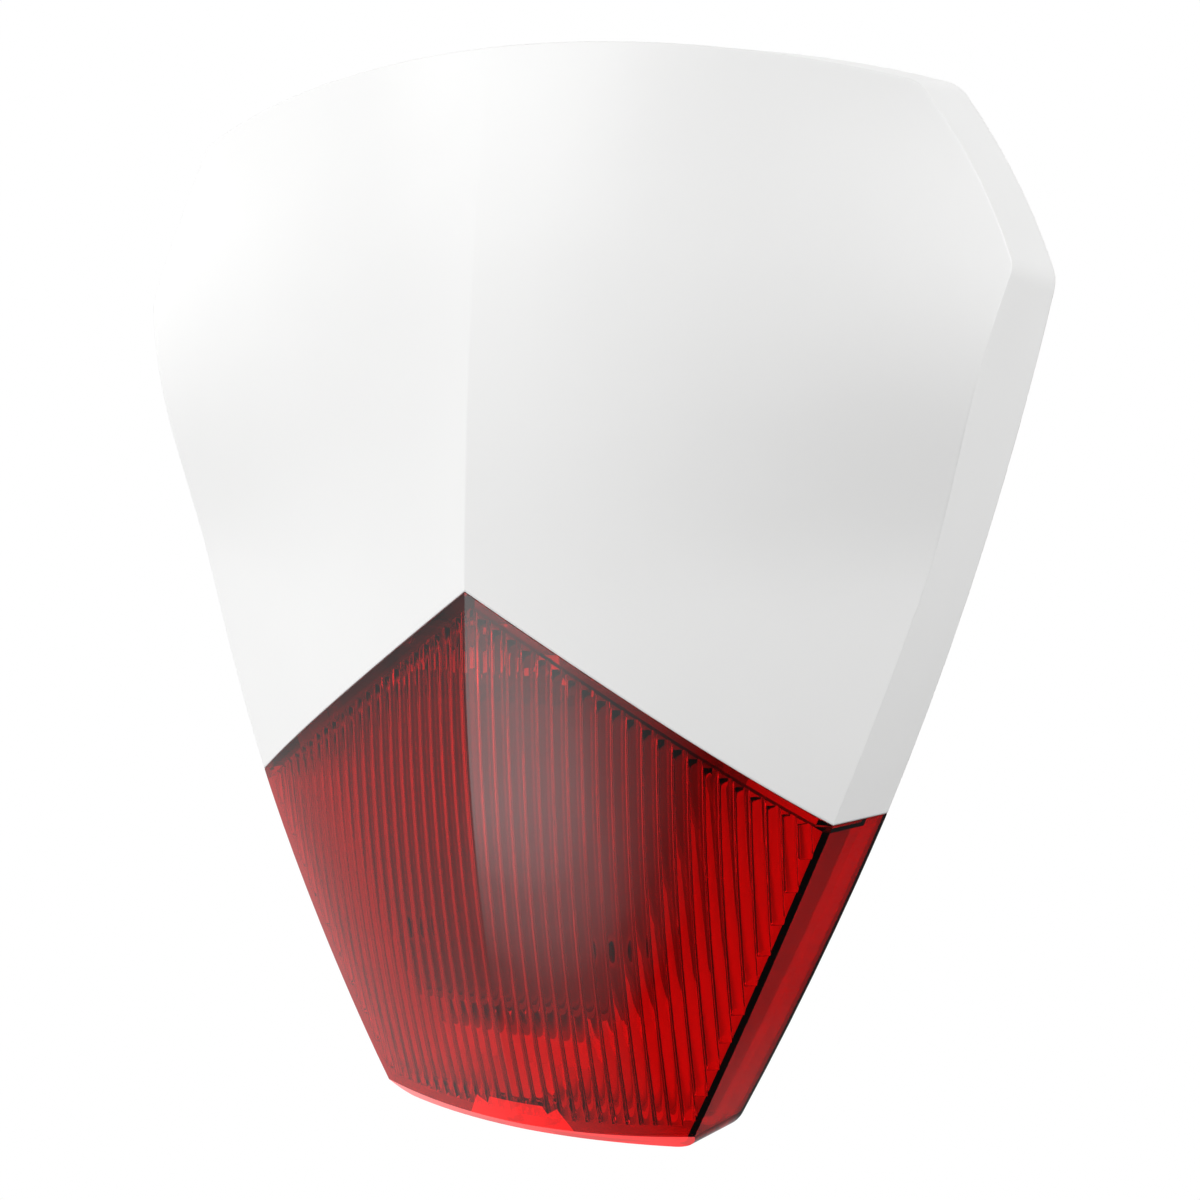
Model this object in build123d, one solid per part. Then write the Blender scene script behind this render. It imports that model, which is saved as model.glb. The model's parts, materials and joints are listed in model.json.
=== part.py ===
from build123d import *
import math
import os

# Outdoor wireless alarm siren with a strobe lens, in millimetres.
# Origin: on the wall plane and the symmetry plane, close to mid-height.
# +X is the viewer's right, -Y points out of the wall, +Z is up.

# Cover outline on the wall plane, right half: (x, z) of each corner.
TOP_Z = 134.3
SHOULDER = (90.4, 118.8)
WIDEST = (112.4, 75.9)
JOINT_CORNER = (78.4, -47.7)
FOOT = (42.6, -131.4)
BULGE_SHOULDER = 1.8
BULGE_UPPER_SIDE = 2.6
BULGE_LOWER_SIDE = 1.0
DRAFT = 0.24
CORNER_R = 9.0
DEEP_CORNER_R = 3.0
DEEP = 66.0
TAIL_X = -60.0
REACH = 600.0
CUT = 20.0
FAR = 200.0

# Front surface: a vertical ridge that falls away to each side.
RIDGE_DEPTH = 63.6
RIDGE_Z = 2.0
RIDGE_CURVE_UP = 0.00090
RIDGE_CURVE_DOWN = 0.00182
CREASE_SLOPE = 0.27
CREASE_Z = 8.0
CREASE_SPAN_UP = 48.0
CREASE_SPAN_DOWN = 70.0
# Height, half-width and depth of the front edge: shoulder, widest, joint, lower side and foot.
EDGE_STATIONS = (
    (113.2, 84.5, 31.4),
    (74.0, 104.4, 29.5),
    (-42.4, 72.0, 32.6),
    (-85.0, 56.2, 30.8),
    (-118.0, 40.0, 28.5),
)
BEVEL_Z = -120.4
BEVEL_SLOPE = 1.1

# Walls of the cover and the V where the white shell meets the red lens.
SIDE_WALL = 2.6
FRONT_WALL = 3.0
RIM_GAP = 0.6
V_APEX_Z = 9.0
V_SLOPE = 0.70
V_GAP = 0.1
SEAL_T = 0.8
SEAL_RISE = 8.0
LIP_T = 1.8
LIP_DROP = 3.6
LIP_BACK_Y = -11.0
LENS_SCREW_X = (16.0, 48.0)
LENS_SCREW_RISE = 4.2
LENS_SCREW_R = 1.2
LENS_SCREW_HEAD_R = 2.3
LENS_SCREW_HEAD_T = 1.5
LENS_SCREW_BITE = 1.4
LENS_SCREW_RECESS = 0.6
LENS_SCREW_CROSS = (1.5, 0.3)
LENS_PAD_R = 3.2

# Hooks at the top: a pin in the cover lies in a trough on the back plate.
PIVOT_Y = -7.0
PIVOT_Z = 121.0
SWING = 30.0
WALL_CLEAR = 0.3
PIN_R = 2.0
PIN_FIT = 0.08
HOOK_X = 42.0
HOOK_W = 8.0
CHEEK_T = 2.4
CHEEK_GAP = 0.4
CHEEK_HALF = 3.2
TROUGH_T = 2.4
HOOK_ROOT = 6.0

# Back plate.
PLATE_GAP = 1.0
PLATE_T = 3.0
PLATE_TOP_Z = 113.5
PLATE_POST_R = 3.0
PILOT_R = 1.2
PILOT_DEPTH = 8.0
RAIL_Y = -9.0
RAIL_T = 2.0
TOP_RIB_X = 70.0
MOUNT_X = 60.0
MOUNT_Z = (96.0, -20.0)
MOUNT_HOLE_R = 2.6
MOUNT_PAD_R = 6.0
MOUNT_PAD_Y = -6.0
ENTRY_Z = 98.0
ENTRY_R = 7.0
CABLE_R = 3.0
GROMMET_Y = -6.0
GROMMET_COLLAR_Y = -5.5
GROMMET_COLLAR = 2.0
WALL_GAP = 0.2

# Cover screw, driven up from below through a slotted seat in the lens.
SCREW_Y = -27.0
POCKET_R = 4.7
POCKET_WALL = 1.8
SEAT_Z = -117.0
SEAT_T = 2.6
SEAT_SLOT = 12.0
SHANK_SLACK = 0.2
SCREW_R = 1.75
FIT = 0.05
SCREW_HEAD_R = 3.4
SCREW_HEAD_T = 2.4
SCREW_RECESS = 1.4
SCREW_CROSS = (2.2, 0.45)
SCREW_TIP_Z = -92.8
SCREW_TRAVEL = 3.0
PILLAR_R = 8.0
PILLAR_FOOT_Z = -113.0
WEB_HALF = 2.0
SHELF_W = 34.0
SHELF_Z = -104.0
SHELF_TOP_Z = -97.5
SHELF_FRONT_Y = -34.0
CLIP_R = 3.6
CLIP_T = 0.8
CLIP_GAP = 0.1
CLIP_Z = SHELF_TOP_Z + SCREW_TRAVEL + 2 * CLIP_GAP
GROOVE_R = 1.35

# Sound chamber behind the lens.
CHAMBER_TOP = (58.0, 8.5)
CHAMBER_SIDE = (50.0, -28.0)
CHAMBER_FOOT = (24.0, -92.0)
CHAMBER_Y = -31.0
CHAMBER_WALL = 2.0
CHAMBER_LIP = 1.6
CHAMBER_SCREWS = ((44.0, -8.0), (24.0, -76.0))
CHAMBER_POST_Y = -14.0
CHAMBER_POST_R = 4.0
CHAMBER_SEAT_Y = -17.0
CHAMBER_SCREW_R = 1.15
CHAMBER_SCREW_HEAD_R = 2.3
CHAMBER_SCREW_HEAD_T = 1.6
CHAMBER_SCREW_TIP_Y = -8.0
STROBE_POST_R = 2.4
MOUTH_W = 37.0
MOUTH_Y = (-15.5, -5.5)
DRIVER_Z = -26.0
DRIVER_R = 20.0
DRIVER_BACK_Y = -19.0
DRIVER_FRONT_Y = -28.8
DRIVER_WALL = 1.5
DISC_Y = -23.0
DISC_T = 0.4
PIEZO_R = 13.0
HORN_FRONT_Y = -18.4
HORN_CENTRE = 7.0
HORN_DEPTH = 13.0
HORN_RISE = 12.0
HORN_TOP_W = 22.0
HORN_FOOT_W = 38.0
HORN_THROAT_R = 5.0
HORN_WALL = 1.5

# Electronics.
BOARD_T = 1.6
BOARD_MARGIN = 4.0
MAIN_SCREW_R = 1.15
STROBE_SCREW_R = 0.85
SCREW_SLOT = (1.4, 0.25, 0.6)
SMALL_HEAD_T = 1.4
MAIN_PLACE = (-46.0, 48.0, 62.0, 60.0)
MAIN_Y = -13.0
STROBE_Z = -10.0
STROBE_PLACE = (0.0, STROBE_Z, 64.0, 18.0)
STROBE_Y = -34.0
LED_X = (-20.0, -7.0, 7.0, 20.0)
LED_BASE = 5.0
LED_BASE_T = 1.0
LED_DOME_R = 1.9
LED_DOME_T = 0.8
CAN_X = (-70.0, -50.0)
CAN_Z = (24.0, 42.0)
CAN_H = 3.0
CAN_WALL = 0.4
AERIAL_X = -72.0
AERIAL_Z = (46.0, 74.0)
AERIAL_STAND = 6.0
AERIAL_R = 0.6
SOCKET_X = (-42.0, -28.0)
SOCKET_Z = (22.0, 28.0)
SOCKET_H = 6.0
SOCKET_WALL = 1.0
CELL_R = 8.3
CELL_L = 33.4
CELL_NUB = 1.0
CELL_PITCH = 17.4
TRAY_X = 44.0
TRAY_Z = 46.0
TRAY_HALF_W = 22.0
TRAY_Y = -4.0
TRAY_H = 12.0
TRAY_FLOOR_Y = -3.0
TRAY_WALL = 1.8
TRAY_RIM = 2.0
CELLS = 4
CELL_Y = -13.6
CELL_SLACK = 0.15
CELL_TIP = 0.8
CELL_NUB_R = 3.0
CONTACT_SPAN = (0.1, 0.6)
CONTACT_HALF = 4.5
SPRING_R = 3.6
SPRING_WIRE_R = 0.3
SPRING_TURNS = 2.5
SPRING_GAP = 0.35
PLUNGER_R = 1.8
PLUNGER_SLACK = 0.3
FRONT_TAMPER = (-62.0, 66.0)
FRONT_TAMPER_TIP_Y = -27.0
TAMPER_POST_R = 3.0
WALL_TAMPER = (-40.0, 34.0)
WALL_PLUNGER_Y = -8.4
TAMPER_BODY = 8.0
TAMPER_H = 9.0
TAMPER_FLOOR = 1.0
PLUNGER_FOOT = 5.0
TAMPER_TURNS = 3
TAMPER_COIL_R = 1.2
TAMPER_WIRE_R = 0.18
TAMPER_COIL_Y = (-4.6, -1.4)
POWER_X = (-53.0, -41.0)
POWER_Z = (66.0, 71.5)
POWER_H = 4.0
POWER_SLOT_X = (-50.2, -43.8)
POWER_SLOT_Z = (67.5, 70.0)
POWER_FLOOR = 1.5
SLIDER_X = (-50.1, -46.5)
SLIDER_H = 6.5
RESET = (-30.0, 63.0)
RESET_BODY = 6.0
RESET_H = 3.5
RESET_R = 1.75
STATUS = (-22.0, 63.0)
STATUS_R = 1.5
STATUS_H = 2.5
STATUS_FLANGE = (1.9, 0.8)
VIAL_Y = -6.0
VIAL_Z = 84.0
VIAL_HALF = 12.0
VIAL_R = 3.0


# ---------------------------------------------------------------- helpers
def both(half):
    return half + mirror(half, about=Plane.YZ)


def block(x, y, z):
    """A box from (low, high) pairs."""
    size = (x[1] - x[0], y[1] - y[0], z[1] - z[0])
    middle = ((x[0] + x[1]) / 2, (y[0] + y[1]) / 2, (z[0] + z[1]) / 2)
    return Pos(*middle) * Box(*size)


def rod_y(x, z, y_front, y_back, radius):
    """A cylinder along Y from y_front to y_back."""
    middle = Pos(x, (y_front + y_back) / 2, z)
    return middle * Rot(90, 0, 0) * Cylinder(radius, abs(y_back - y_front))


def rod_x(y, z, x_low, x_high, radius):
    return Pos((x_low + x_high) / 2, y, z) * Rot(0, 90, 0) * Cylinder(radius, x_high - x_low)


def rod_z(x, y, z_low, z_high, radius):
    return Pos(x, y, (z_low + z_high) / 2) * Cylinder(radius, z_high - z_low)


def cross_recess(x, z, y_front, y_back, size):
    """Cross-shaped driver recess of a screw that points along Y."""
    reach, half = size
    level = block((x - reach, x + reach), (y_front, y_back), (z - half, z + half))
    return level + block((x - half, x + half), (y_front, y_back), (z - reach, z + reach))


def slab(points, y_front, y_back):
    """A flat (x, z) polygon, extruded from y_back out to y_front."""
    sketch = make_face(Polyline(*points, close=True))
    return extrude(Plane.XZ.offset(-y_back) * sketch, y_back - y_front)


def spread(low, high, count):
    return [low + (high - low) * i / (count - 1) for i in range(count)]


def shrink(span, amount):
    return (span[0] + amount, span[1] - amount)


def save(name, shape):
    solids = shape.solids()
    whole = solids[0] if len(solids) == 1 else Compound(children=list(solids))
    export_step(whole, "parts/" + name + ".step")


# ---------------------------------------------------------------- cover shape
def ridge_y(z):
    rise = z - RIDGE_Z
    curve = RIDGE_CURVE_UP if rise > 0 else RIDGE_CURVE_DOWN
    return curve * rise * rise - RIDGE_DEPTH


def crease(z):
    """Slope beside the ridge: sharpest at the point of the V, fading up and down from it."""
    rise = z - CREASE_Z
    away = rise / (CREASE_SPAN_UP if rise > 0 else CREASE_SPAN_DOWN)
    return CREASE_SLOPE * math.exp(-away * away)


def cross_curve(z):
    """Curvature of the level section, a cubic in height through the edge stations."""
    total = 0.0
    for station_z, half, edge in EDGE_STATIONS:
        term = (-ridge_y(station_z) - edge - crease(station_z) * half) / half**2
        for other_z, _, _ in EDGE_STATIONS:
            if other_z != station_z:
                term *= (z - other_z) / (station_z - other_z)
        total += term
    return total


def front_y(x, z):
    return ridge_y(z) + crease(z) * abs(x) + cross_curve(z) * x * x


def bevel_y(x, z):
    return front_y(x, BEVEL_Z) + BEVEL_SLOPE * (BEVEL_Z - z)


def behind(surface, shift):
    """The space behind a surface y(x, z) moved back by shift, for x above zero."""
    heights = spread(-150.0, 150.0, 31)
    rows = [[Vector(x, surface(x, z) + shift, z) for x in spread(0.0, 120.0, 13)] for z in heights]
    face = Face.make_surface_from_array_of_points(rows, tol=0.005)
    return Part(children=[Solid.extrude(face, Vector(0, REACH, 0))])


def outline(inset, corner_r):
    """Half outline with every edge moved in by inset; its left end is past the symmetry plane."""
    sag = TOP_Z - SHOULDER[1]
    top_r = (SHOULDER[0] ** 2 + sag**2) / (2 * sag)
    tail_top = (TAIL_X, TOP_Z - top_r + math.sqrt(top_r**2 - TAIL_X**2))
    tail_foot = (TAIL_X, FOOT[1])
    face = make_face(
        [
            ThreePointArc(tail_top, (0, TOP_Z), SHOULDER),
            SagittaArc(SHOULDER, WIDEST, BULGE_SHOULDER),
            SagittaArc(WIDEST, JOINT_CORNER, BULGE_UPPER_SIDE),
            SagittaArc(JOINT_CORNER, FOOT, BULGE_LOWER_SIDE),
            Line(FOOT, tail_foot),
            Line(tail_foot, tail_top),
        ]
    )
    if inset > 0:
        face = offset(face, amount=-inset, kind=Kind.INTERSECTION)
    rounded = [v for v in face.vertices() if v.X > 0 and abs(v.Y - JOINT_CORNER[1]) > 20]
    return fillet(rounded, corner_r)


def drafted(inset):
    """Half of the drafted prism that the cover's side walls follow."""
    back = Plane.XZ * outline(inset, max(CORNER_R - inset, 2.0))
    deep = Plane.XZ.offset(DEEP) * outline(inset + DRAFT * DEEP, max(DEEP_CORNER_R - inset, 1.0))
    return Part(children=[loft([back.face(), deep.face()], ruled=True).solid()])


RIGHT_HALF = block((0, FAR), (-FAR, FAR), (-FAR, FAR))


def half_body(inset, shift):
    """Right half of the cover's space, walls moved in by inset and front moved back by shift."""
    body = drafted(inset) & behind(front_y, shift)
    return (body & behind(bevel_y, shift)) & RIGHT_HALF


def above_v(rise):
    """Everything above the V joint line raised by rise, on the right half."""
    edge = V_APEX_Z + rise
    points = [(0, edge), (FAR, edge - V_SLOPE * FAR), (FAR, FAR), (0, FAR)]
    return slab(points, -FAR, FAR)


def swing_relief():
    """What would pass through the wall when the cover swings out on its hooks."""
    angle = math.radians(SWING)
    normal = Vector(0, math.cos(angle), math.sin(angle))
    origin = Vector(0, PIVOT_Y, PIVOT_Z) + normal * (-PIVOT_Y - WALL_CLEAR)
    return extrude(Plane(origin=origin, z_dir=normal) * Rectangle(2 * FAR, 2 * FAR), DEEP)


OUTER = half_body(0, 0)
INNER = half_body(SIDE_WALL, FRONT_WALL)
SEAL_FACE = half_body(SIDE_WALL + SEAL_T, FRONT_WALL + SEAL_T)
LIP_FACE = half_body(SIDE_WALL + SEAL_T + LIP_T, FRONT_WALL + SEAL_T + LIP_T)
FRONT_OF_RIM = block((-FAR, FAR), (-FAR, -RIM_GAP), (-FAR, FAR))
FRONT_OF_RAIL = block((-FAR, FAR), (-FAR, LIP_BACK_Y), (-FAR, FAR))


# ---------------------------------------------------------------- cover
def lens_screw_places():
    """(x, z, seat y, tip y) of each screw that holds the lens lip, on the right half."""
    places = []
    for x in LENS_SCREW_X:
        z = V_APEX_Z - V_SLOPE * x + LENS_SCREW_RISE
        skin = front_y(x, z)
        lean = abs(front_y(x + LENS_PAD_R, z - LENS_PAD_R) - skin)
        seat = skin + FRONT_WALL + SEAL_T + LIP_T + lean
        places.append((x, z, seat, skin + LENS_SCREW_BITE))
    return places


def make_cover_shell():
    shell = (OUTER - INNER) & above_v(V_GAP)
    cheeks = []
    for side in (-1, 1):
        x = HOOK_X + side * (HOOK_W / 2 + CHEEK_GAP + CHEEK_T / 2)
        span = (x - CHEEK_T / 2, x + CHEEK_T / 2)
        cheek = block(span, (PIVOT_Y - CHEEK_HALF, PIVOT_Y + CHEEK_HALF), (PIVOT_Z, TOP_Z))
        cheeks.append(cheek + rod_x(PIVOT_Y, PIVOT_Z, span[0], span[1], CHEEK_HALF))
    pin_half = HOOK_W / 2 + CHEEK_GAP + CHEEK_T
    pin = rod_x(PIVOT_Y, PIVOT_Z, HOOK_X - pin_half, HOOK_X + pin_half, PIN_R)
    shell += (cheeks[0] + cheeks[1] + pin) & OUTER
    for x, z, _, tip in lens_screw_places():
        shell -= rod_y(x, z, tip, tip + CUT, LENS_SCREW_R + FIT)
    whole = both(shell & FRONT_OF_RIM) - swing_relief()
    x, z = FRONT_TAMPER
    skin = front_y(x, z) + FRONT_WALL / 2
    whole += rod_y(x, z, skin, FRONT_TAMPER_TIP_Y, TAMPER_POST_R)
    return whole


def make_lens():
    wall = (OUTER - INNER) - above_v(-V_GAP)
    root = ((INNER - LIP_FACE) & above_v(-LIP_DROP)) - above_v(-V_GAP)
    lip = (SEAL_FACE - LIP_FACE) & above_v(-V_GAP - 0.5)
    lip -= above_v(SEAL_RISE)
    for x, z, seat, _ in lens_screw_places():
        lip += rod_y(x, z, seat, seat - CUT, LENS_PAD_R) & SEAL_FACE
    for x, z, seat, _ in lens_screw_places():
        lip -= rod_y(x, z, seat + 1, seat - CUT, LENS_SCREW_R + FIT)
    half = (wall & FRONT_OF_RIM) + ((root + lip) & FRONT_OF_RAIL)
    whole = both(half)
    pocket_top = SEAT_Z + SEAT_T
    seat = rod_z(0, SCREW_Y, FOOT[1], pocket_top, POCKET_R + POCKET_WALL)
    whole += seat & both(OUTER)
    whole -= rod_z(0, SCREW_Y, FOOT[1] - 1, SEAT_Z, POCKET_R)
    slot_back = SCREW_Y + SEAT_SLOT
    head_foot = SEAT_Z - SCREW_HEAD_T - SCREW_TRAVEL - 1.0
    head_path = block((-POCKET_R, POCKET_R), (SCREW_Y, slot_back), (head_foot, SEAT_Z))
    shank = SCREW_R + SHANK_SLACK
    shank_path = block((-shank, shank), (SCREW_Y, slot_back), (SEAT_Z - 1, pocket_top + 1))
    whole -= head_path & both(INNER)
    whole -= shank_path
    whole -= rod_z(0, SCREW_Y, SEAT_Z - 1, pocket_top + 1, shank)
    return whole


def make_lens_seal():
    half = ((INNER - SEAL_FACE) & above_v(V_GAP)) - above_v(SEAL_RISE)
    for x, z, _, tip in lens_screw_places():
        half -= rod_y(x, z, tip, tip + CUT, LENS_SCREW_R + FIT)
    return both(half & FRONT_OF_RAIL)


def make_lens_screws():
    half = []
    for x, z, seat, tip in lens_screw_places():
        shank = rod_y(x, z, tip, seat, LENS_SCREW_R)
        head = rod_y(x, z, seat, seat + LENS_SCREW_HEAD_T, LENS_SCREW_HEAD_R)
        recess = seat + LENS_SCREW_HEAD_T - LENS_SCREW_RECESS
        half.append(shank + head - cross_recess(x, z, recess, recess + CUT, LENS_SCREW_CROSS))
    return Compound(children=half + [mirror(s, about=Plane.YZ) for s in half])


# ---------------------------------------------------------------- back plate
def plate_half(inset, y_front, y_back):
    return drafted(SIDE_WALL + PLATE_GAP + inset) & block((0, FAR), (y_front, y_back), (-FAR, PLATE_TOP_Z))


def screw_places():
    return [(side * MOUNT_X, z) for side in (-1, 1) for z in MOUNT_Z]


def board_corners(x, z, width, height):
    reach_x = width / 2 - BOARD_MARGIN
    reach_z = height / 2 - BOARD_MARGIN
    return [(x + i * reach_x, z + k * reach_z) for i in (-1, 1) for k in (-1, 1)]


def chamber_screw_places():
    return [(side * x, z) for side in (-1, 1) for x, z in CHAMBER_SCREWS]


def make_back_plate():
    floor = both(plate_half(0, -PLATE_T, 0))
    rail = both(plate_half(0, RAIL_Y, 0)) - both(plate_half(RAIL_T, RAIL_Y - 1, -PLATE_T))
    rail -= block((-FAR, FAR), (RAIL_Y - 1, -PLATE_T), (PLATE_TOP_Z - 0.01, FAR))
    plate = floor + rail
    top_rib = block((-TOP_RIB_X, TOP_RIB_X), (RAIL_Y, 0), (PLATE_TOP_Z - RAIL_T, PLATE_TOP_Z))
    plate += top_rib
    trough_r = PIN_R + PIN_FIT
    for side in (-1, 1):
        x = side * HOOK_X
        span = (x - HOOK_W / 2, x + HOOK_W / 2)
        front = PIVOT_Y - trough_r - TROUGH_T
        hook = block(span, (front, 0), (PLATE_TOP_Z - HOOK_ROOT, PIVOT_Z))
        plate += hook - rod_x(PIVOT_Y, PIVOT_Z, span[0] - 1, span[1] + 1, trough_r)
    for x, z in screw_places():
        plate += rod_y(x, z, MOUNT_PAD_Y, 0, MOUNT_PAD_R)
    shelf = block((-SHELF_W / 2, SHELF_W / 2), (SHELF_FRONT_Y, -PLATE_T), (SHELF_Z, SHELF_TOP_Z))
    pillar = rod_z(0, SCREW_Y, PILLAR_FOOT_Z, SHELF_TOP_Z, PILLAR_R)
    web = block((-WEB_HALF, WEB_HALF), (SCREW_Y, -PLATE_T), (PILLAR_FOOT_Z, SHELF_Z))
    plate += shelf + pillar + web
    for x, z in board_corners(*MAIN_PLACE):
        plate += rod_y(x, z, MAIN_Y + BOARD_T, 0, PLATE_POST_R)
    for x, z in chamber_screw_places():
        plate += rod_y(x, z, CHAMBER_POST_Y, 0, PLATE_POST_R)
    for x, z in screw_places():
        plate -= rod_y(x, z, -CUT, CUT, MOUNT_HOLE_R)
    for x, z in board_corners(*MAIN_PLACE):
        plate -= rod_y(x, z, MAIN_Y, MAIN_Y + PILOT_DEPTH, PILOT_R)
    for x, z in chamber_screw_places():
        plate -= rod_y(x, z, CHAMBER_POST_Y - 1, CHAMBER_POST_Y + PILOT_DEPTH, PILOT_R)
    plate -= rod_y(0, ENTRY_Z, -CUT, CUT, ENTRY_R)
    plate -= rod_y(*WALL_TAMPER, -CUT, CUT, PLUNGER_R + PLUNGER_SLACK)
    plate -= rod_z(0, SCREW_Y, SHELF_Z - CUT, SHELF_Z + CUT, SCREW_R + FIT)
    return plate


def make_grommet():
    ring = rod_y(0, ENTRY_Z, GROMMET_Y, -WALL_GAP, ENTRY_R - FIT)
    ring += rod_y(0, ENTRY_Z, GROMMET_COLLAR_Y, -PLATE_T, ENTRY_R + GROMMET_COLLAR)
    return ring - rod_y(0, ENTRY_Z, -CUT, CUT, CABLE_R)


def make_cover_screw():
    screw = rod_z(0, SCREW_Y, SEAT_Z, SCREW_TIP_Z, SCREW_R)
    screw += rod_z(0, SCREW_Y, SEAT_Z - SCREW_HEAD_T, SEAT_Z, SCREW_HEAD_R)
    recess_z = SEAT_Z - SCREW_HEAD_T + SCREW_RECESS
    for half_x, half_y in (SCREW_CROSS, SCREW_CROSS[::-1]):
        level = (SCREW_Y - half_y, SCREW_Y + half_y)
        screw -= block((-half_x, half_x), level, (recess_z - CUT, recess_z))
    groove_z = CLIP_Z - CLIP_GAP
    groove = rod_z(0, SCREW_Y, groove_z, CLIP_Z + CLIP_T + CLIP_GAP, SCREW_HEAD_R)
    groove -= rod_z(0, SCREW_Y, groove_z - 1, groove_z + 3, GROOVE_R)
    return screw - groove


def make_screw_clip():
    clip = rod_z(0, SCREW_Y, CLIP_Z, CLIP_Z + CLIP_T, CLIP_R)
    return clip - rod_z(0, SCREW_Y, CLIP_Z - 1, CLIP_Z + 2, GROOVE_R + FIT)


# ---------------------------------------------------------------- sounder
def shield(inset):
    """Shield outline of the sound chamber with every edge moved in by inset."""
    points = [CHAMBER_TOP, CHAMBER_SIDE, CHAMBER_FOOT]
    sketch = make_face(Polyline(*points, *[(-x, z) for x, z in reversed(points)], close=True))
    if inset > 0:
        sketch = offset(sketch, amount=-inset, kind=Kind.INTERSECTION)
    return sketch


def shield_block(inset, y_front, y_back):
    return extrude(Plane.XZ.offset(-y_back) * shield(inset), y_back - y_front)


def make_sound_chamber():
    box = shield_block(0, CHAMBER_Y - CHAMBER_LIP, -PLATE_T)
    box -= shield_block(CHAMBER_LIP, CHAMBER_Y - CUT, CHAMBER_Y)
    box -= shield_block(CHAMBER_WALL, CHAMBER_Y + CHAMBER_WALL, CUT)
    foot_z = CHAMBER_FOOT[1]
    box -= block((-MOUTH_W / 2, MOUTH_W / 2), MOUTH_Y, (foot_z - CHAMBER_WALL, foot_z + 3 * CHAMBER_WALL))
    bore = CHAMBER_SCREW_HEAD_R + 0.3
    for x, z in chamber_screw_places():
        post = rod_y(x, z, CHAMBER_Y + 1, CHAMBER_POST_Y, CHAMBER_POST_R)
        box += post & shield_block(0.5, CHAMBER_Y, 0)
        box -= rod_y(x, z, CHAMBER_Y - CUT, CHAMBER_SEAT_Y, bore)
        box -= rod_y(x, z, CHAMBER_SEAT_Y - 1, 0, CHAMBER_SCREW_R + 0.45)
    for x, z in board_corners(*STROBE_PLACE):
        box += rod_y(x, z, STROBE_Y + BOARD_T, CHAMBER_Y + 1, STROBE_POST_R)
        box -= rod_y(x, z, STROBE_Y, CHAMBER_Y + CHAMBER_WALL - 0.5, STROBE_SCREW_R + FIT)
    return box


def make_chamber_screws():
    screws = []
    for x, z in chamber_screw_places():
        screw = rod_y(x, z, CHAMBER_SEAT_Y, CHAMBER_SCREW_TIP_Y, CHAMBER_SCREW_R)
        head_y = CHAMBER_SEAT_Y - CHAMBER_SCREW_HEAD_T
        screws.append(screw + rod_y(x, z, head_y, CHAMBER_SEAT_Y, CHAMBER_SCREW_HEAD_R))
    return Compound(children=screws)


def make_sounder_driver():
    can = rod_y(0, DRIVER_Z, DRIVER_FRONT_Y, DRIVER_BACK_Y, DRIVER_R)
    inner_r = DRIVER_R - DRIVER_WALL
    can -= rod_y(0, DRIVER_Z, DRIVER_FRONT_Y + DRIVER_WALL, DRIVER_BACK_Y + 1, inner_r)
    return can


def make_diaphragm():
    disc_r = DRIVER_R - DRIVER_WALL - 0.1
    disc = rod_y(0, DRIVER_Z, DISC_Y - DISC_T, DISC_Y, disc_r)
    return disc + rod_y(0, DRIVER_Z, DISC_Y, DISC_Y + DISC_T, PIEZO_R)


def make_horn():
    def duct(width_top, width_foot, depth, z_top, z_foot):
        middle_y = HORN_FRONT_Y + HORN_CENTRE
        top = Plane(origin=(0, middle_y, z_top), z_dir=(0, 0, 1)) * Rectangle(width_top, depth)
        foot = Plane(origin=(0, middle_y, z_foot), z_dir=(0, 0, 1)) * Rectangle(width_foot, depth)
        return Part(children=[loft([top.face(), foot.face()], ruled=True).solid()])

    foot_z = CHAMBER_FOOT[1] + CHAMBER_WALL + 0.1
    top_z = DRIVER_Z + HORN_RISE
    wall = 2 * HORN_WALL
    body = duct(HORN_TOP_W, HORN_FOOT_W, HORN_DEPTH, top_z, foot_z)
    body -= duct(HORN_TOP_W - wall, HORN_FOOT_W - wall, HORN_DEPTH - wall, top_z - HORN_WALL, foot_z - 0.01)
    body -= rod_y(0, DRIVER_Z, HORN_FRONT_Y - CUT, HORN_FRONT_Y + HORN_CENTRE, HORN_THROAT_R)
    return body


# ---------------------------------------------------------------- boards
def board(x, z, width, height, y_front, hole_r):
    wide = (x - width / 2, x + width / 2)
    plate = block(wide, (y_front, y_front + BOARD_T), (z - height / 2, z + height / 2))
    for hole_x, hole_z in board_corners(x, z, width, height):
        plate -= rod_y(hole_x, hole_z, y_front - CUT, y_front + CUT, hole_r)
    return plate


def small_screws(places, seat_y, length, shank_r, head_r):
    """Slotted pan-head screws pointing back from seat_y."""
    reach, half, depth = SCREW_SLOT
    head_y = seat_y - SMALL_HEAD_T
    screws = []
    for x, z in places:
        screw = rod_y(x, z, seat_y, seat_y + length, shank_r) + rod_y(x, z, head_y, seat_y, head_r)
        screw -= block((x - reach, x + reach), (head_y - 1, head_y + depth), (z - half, z + half))
        screws.append(screw)
    return Compound(children=screws)


def make_strobe_leds():
    leds = []
    base_y = STROBE_Y - LED_BASE_T
    half = LED_BASE / 2
    for x in LED_X:
        base = block((x - half, x + half), (base_y, STROBE_Y), (STROBE_Z - half, STROBE_Z + half))
        leds.append(base + rod_y(x, STROBE_Z, base_y - LED_DOME_T, base_y, LED_DOME_R))
    return Compound(children=leds)


def make_radio_shield():
    can = block(CAN_X, (MAIN_Y - CAN_H, MAIN_Y), CAN_Z)
    inside_y = MAIN_Y - CAN_H + CAN_WALL
    return can - block(shrink(CAN_X, CAN_WALL), (inside_y, MAIN_Y + 1), shrink(CAN_Z, CAN_WALL))


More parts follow.
